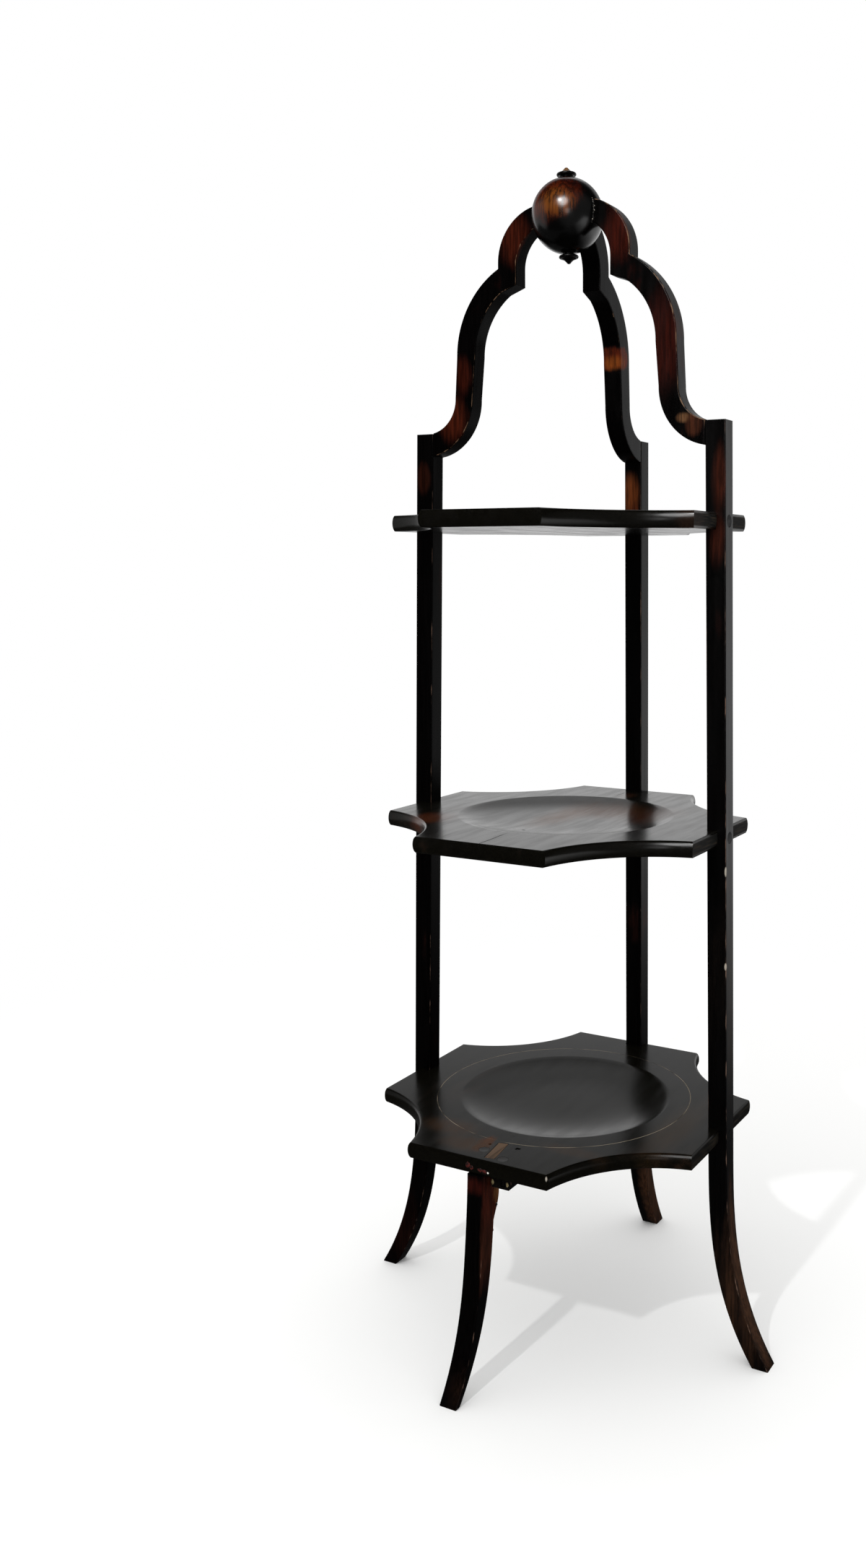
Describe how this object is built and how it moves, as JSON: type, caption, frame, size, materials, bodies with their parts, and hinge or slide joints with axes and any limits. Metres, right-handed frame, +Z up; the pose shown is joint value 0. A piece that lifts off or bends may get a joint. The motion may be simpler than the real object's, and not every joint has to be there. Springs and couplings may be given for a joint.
{
  "type": "tiered stand",
  "caption": "Ebonised wooden cake stand: dished star-plan shelves let into splayed uprights with sabre legs, joined by arched brackets under a turned ball finial.",
  "frame": {"origin": "on the floor at the centre of the footprint's box; the stand's own axis through the ball is 11.6 mm in front of it, at y = -0.0116, because the front toe reaches less far than the back toe", "axes": "+Z up, -Y the open front with the short leg, +X the right upright, +Y the back upright"},
  "size_m": [0.3808, 0.3576, 0.9457],
  "materials": {
    "upright_wood": "ebonised and polished, worn brown on the arrises",
    "front_leg_wood": "ebonised, with reddish filler at its joint",
    "arch_wood": "ebonised, rubbed to red-brown on the faces",
    "ball_wood": "turned and polished, the black rubbed through",
    "button_wood": "turned, dark polish",
    "shelf_wood": "ebonised board, satin polish",
    "strip_wood": "newer wood, thinly stained",
    "block_wood": "softwood, stained black",
    "plug_wood": "wood plug, stained black",
    "dowel_wood": "bare beech",
    "screw_steel": "dulled steel"
  },
  "bodies": {
    "root": {"left_upright": "upright_wood", "right_upright": "upright_wood", "back_upright": "upright_wood", "front_leg": "front_leg_wood", "left_arch": "arch_wood", "right_arch": "arch_wood", "back_arch": "arch_wood", "ball": "ball_wood", "top_button": "button_wood", "bottom_button": "button_wood", "top_shelf": "shelf_wood", "middle_shelf": "shelf_wood", "bottom_shelf": "shelf_wood", "repair_strip": "strip_wood", "glue_block": "block_wood", "front_leg_screw": "screw_steel", "glue_block_screw": "screw_steel", "left_bottom_shelf_screw": "screw_steel", "left_middle_shelf_screw": "screw_steel", "left_top_shelf_screw": "screw_steel", "right_bottom_shelf_screw": "screw_steel", "right_middle_shelf_screw": "screw_steel", "right_top_shelf_screw": "screw_steel", "back_bottom_shelf_screw": "screw_steel", "back_middle_shelf_screw": "screw_steel", "back_top_shelf_screw": "screw_steel", "left_bottom_screw_plug": "plug_wood", "left_middle_screw_plug": "plug_wood", "left_top_screw_plug": "plug_wood", "right_bottom_screw_plug": "plug_wood", "right_middle_screw_plug": "plug_wood", "right_top_screw_plug": "plug_wood", "back_bottom_screw_plug": "plug_wood", "back_middle_screw_plug": "plug_wood", "back_top_screw_plug": "plug_wood", "left_head_dowel": "dowel_wood", "right_head_dowel": "dowel_wood", "back_head_dowel": "dowel_wood", "left_ball_dowel": "dowel_wood", "right_ball_dowel": "dowel_wood", "back_ball_dowel": "dowel_wood"}
  },
  "joints": []
}
